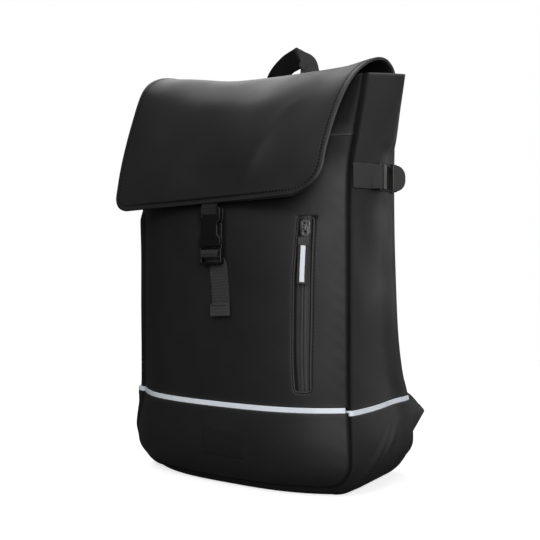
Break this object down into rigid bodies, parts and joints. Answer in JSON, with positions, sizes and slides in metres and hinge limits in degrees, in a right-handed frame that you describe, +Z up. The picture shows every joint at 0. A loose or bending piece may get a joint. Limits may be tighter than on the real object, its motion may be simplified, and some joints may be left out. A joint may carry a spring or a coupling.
{
  "type": "flap-top rucksack",
  "caption": "Upright rucksack in matt black coated fabric with an arched flap, front buckle strap, zipped front pocket, reflective stripe and padded shoulder straps.",
  "frame": {"origin": "on the flat underside of the base, midway between the sides and near the middle of its depth", "axes": "+Z up, -Y the front with the pocket and buckle, +Y the wearer's back, +X the side that is on the right when the front is faced"},
  "size_m": [0.3396, 0.2348, 0.4943],
  "materials": {
    "coated_fabric": "matt rubber-coated fabric",
    "padded_fabric": "matt padded mesh",
    "webbing": "ribbed woven webbing",
    "reflective_tape": "smooth retroreflective tape",
    "moulded_plastic": "satin moulded",
    "gunmetal": "dark plated",
    "zip_film": "satin water-resistant film"
  },
  "bodies": {
    "root": {"front_foot": "coated_fabric", "front_pocket": "coated_fabric", "front_throat": "coated_fabric", "gusset_foot": "coated_fabric", "gusset_right": "coated_fabric", "gusset_left": "coated_fabric", "flap": "coated_fabric", "label_patch": "coated_fabric", "strap_wing_right": "coated_fabric", "strap_wing_left": "coated_fabric", "back_panel": "padded_fabric", "shoulder_strap_right": "padded_fabric", "shoulder_strap_left": "padded_fabric", "top_handle": "webbing", "side_strap_right": "webbing", "side_strap_left": "webbing", "side_loop_right": "webbing", "side_loop_left": "webbing", "closure_strap_upper": "webbing", "closure_strap_lower": "webbing", "strap_webbing_right": "webbing", "strap_webbing_left": "webbing", "zip_pull": "webbing", "stripe_front": "reflective_tape", "stripe_right": "reflective_tape", "stripe_left": "reflective_tape", "zip_pull_strip": "reflective_tape", "buckle_socket": "moulded_plastic", "buckle_plug": "moulded_plastic", "ladder_lock_right": "moulded_plastic", "ladder_lock_left": "moulded_plastic", "strap_lock_right": "moulded_plastic", "strap_lock_left": "moulded_plastic", "zip_slider": "gunmetal", "zip_tape": "zip_film"}
  },
  "joints": []
}
